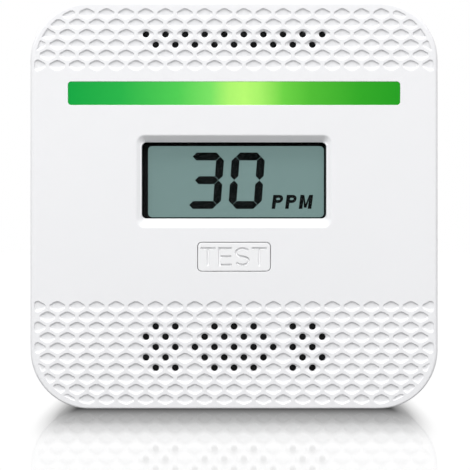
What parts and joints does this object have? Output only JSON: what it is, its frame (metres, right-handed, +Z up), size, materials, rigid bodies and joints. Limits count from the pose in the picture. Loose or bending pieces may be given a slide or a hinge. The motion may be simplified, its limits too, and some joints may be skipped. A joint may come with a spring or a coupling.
{
  "type": "carbon monoxide detector",
  "caption": "Square battery carbon monoxide detector with a reading window, a light bar, a test button, vented textured face, battery door and slide-off wall bracket.",
  "frame": {"origin": "middle of the base, half way through the whole depth, on the surface it stands on", "axes": "+X to the right seen from the front, the front faces -Y, +Z up"},
  "size_m": [0.094, 0.0344, 0.094],
  "materials": {
    "housing_plastic": "fine satin moulded, warm white",
    "button_plastic": "satin moulded, white",
    "light_pipe": "diffusing acrylic, lit green from behind",
    "clear_lens": "clear flat acrylic",
    "black_print": "black screen print",
    "lcd_glass": "grey green display glass",
    "lcd_ink": "dark liquid crystal segments",
    "diffuser": "milky light guide",
    "dark_moulding": "moulded, dark grey",
    "white_moulding": "moulded, white reflector",
    "contact_rubber": "layered conductive rubber",
    "board_laminate": "green lacquered laminate",
    "steel": "zinc plated steel",
    "spring_steel": "nickel plated wire and strip",
    "brass_disc": "brass with a ceramic coat",
    "gold_pin": "gold plated pins",
    "copper_wire": "enamelled copper wire",
    "black_foam": "closed cell foam",
    "screen_mesh": "fine black mesh",
    "filter_felt": "activated carbon felt",
    "chip_plastic": "moulded chip body",
    "can_aluminium": "drawn can",
    "tan_ceramic": "fired ceramic",
    "led_green_lens": "lit",
    "led_yellow_lens": "unlit",
    "led_red_lens": "unlit",
    "ivory_plastic": "nylon connector",
    "red_insulation": "soft insulation",
    "black_insulation": "soft insulation",
    "cell_wrap": "printed shrink sleeve",
    "bracket_plastic": "satin moulded, light grey white"
  },
  "bodies": {
    "housing": {"front_cover": "housing_plastic", "light_bar": "light_pipe", "display_lens": "clear_lens", "display_mask": "black_print", "lcd_front_glass": "lcd_glass", "lcd_segments": "lcd_ink", "lcd_rear_glass": "lcd_glass", "lcd_backlight": "diffuser", "lcd_holder": "dark_moulding", "lcd_contact_strip": "contact_rubber", "light_box": "white_moulding", "led_green": "led_green_lens", "led_yellow": "led_yellow_lens", "led_red": "led_red_lens", "main_board": "board_laminate", "board_screws": "steel", "test_switch_body": "dark_moulding", "sounder_case": "dark_moulding", "sounder_disc": "brass_disc", "sounder_pins": "spring_steel", "sounder_gasket": "black_foam", "sensor_can": "steel", "sensor_cap": "ivory_plastic", "sensor_filter": "filter_felt", "sensor_pins": "gold_pin", "sensor_gasket": "black_foam", "dust_screen_top": "screen_mesh", "dust_screen_bottom": "screen_mesh", "mcu_chip": "chip_plastic", "amplifier_chip": "chip_plastic", "boost_coil": "dark_moulding", "coil_winding": "copper_wire", "electrolytic_capacitors": "can_aluminium", "chip_resistors": "chip_plastic", "chip_capacitors": "tan_ceramic", "crystal": "can_aluminium", "driver_transistor": "chip_plastic", "lead_socket": "ivory_plastic", "lead_plug": "ivory_plastic", "battery_lead_red": "red_insulation", "battery_lead_black": "black_insulation", "rear_cover": "housing_plastic", "housing_screws": "steel", "battery_1": "cell_wrap", "battery_2": "cell_wrap", "battery_3": "cell_wrap", "cell_springs": "spring_steel", "cell_plates": "spring_steel"},
    "button": {"test_button": "button_plastic"},
    "switch_stem": {"test_switch_stem": "dark_moulding"},
    "door": {"battery_door": "housing_plastic"},
    "bracket": {"wall_bracket": "bracket_plastic"}
  },
  "joints": [
    {"name": "test_press", "type": "slide", "parent": "housing", "child": "button", "axis": [0, 1, 0], "range_m": [0, 0.0005], "stiffness_N_per_m": 3000, "springref_m": -0.0003},
    {"name": "stem_press", "type": "slide", "parent": "housing", "child": "switch_stem", "axis": [0, 1, 0], "range_m": [0, 0.0005]},
    {"name": "door_hinge", "type": "hinge", "parent": "housing", "child": "door", "pos_m": [0, 0.0153, 0.0556], "axis": [1, 0, 0], "range_deg": [0, 90]},
    {"name": "bracket_slide", "type": "slide", "parent": "housing", "child": "bracket", "axis": [0, 0, -1], "range_m": [0, 0.004]}
  ],
  "couplings": [
    {"joint": "stem_press", "follows": "test_press", "ratio": 1}
  ]
}
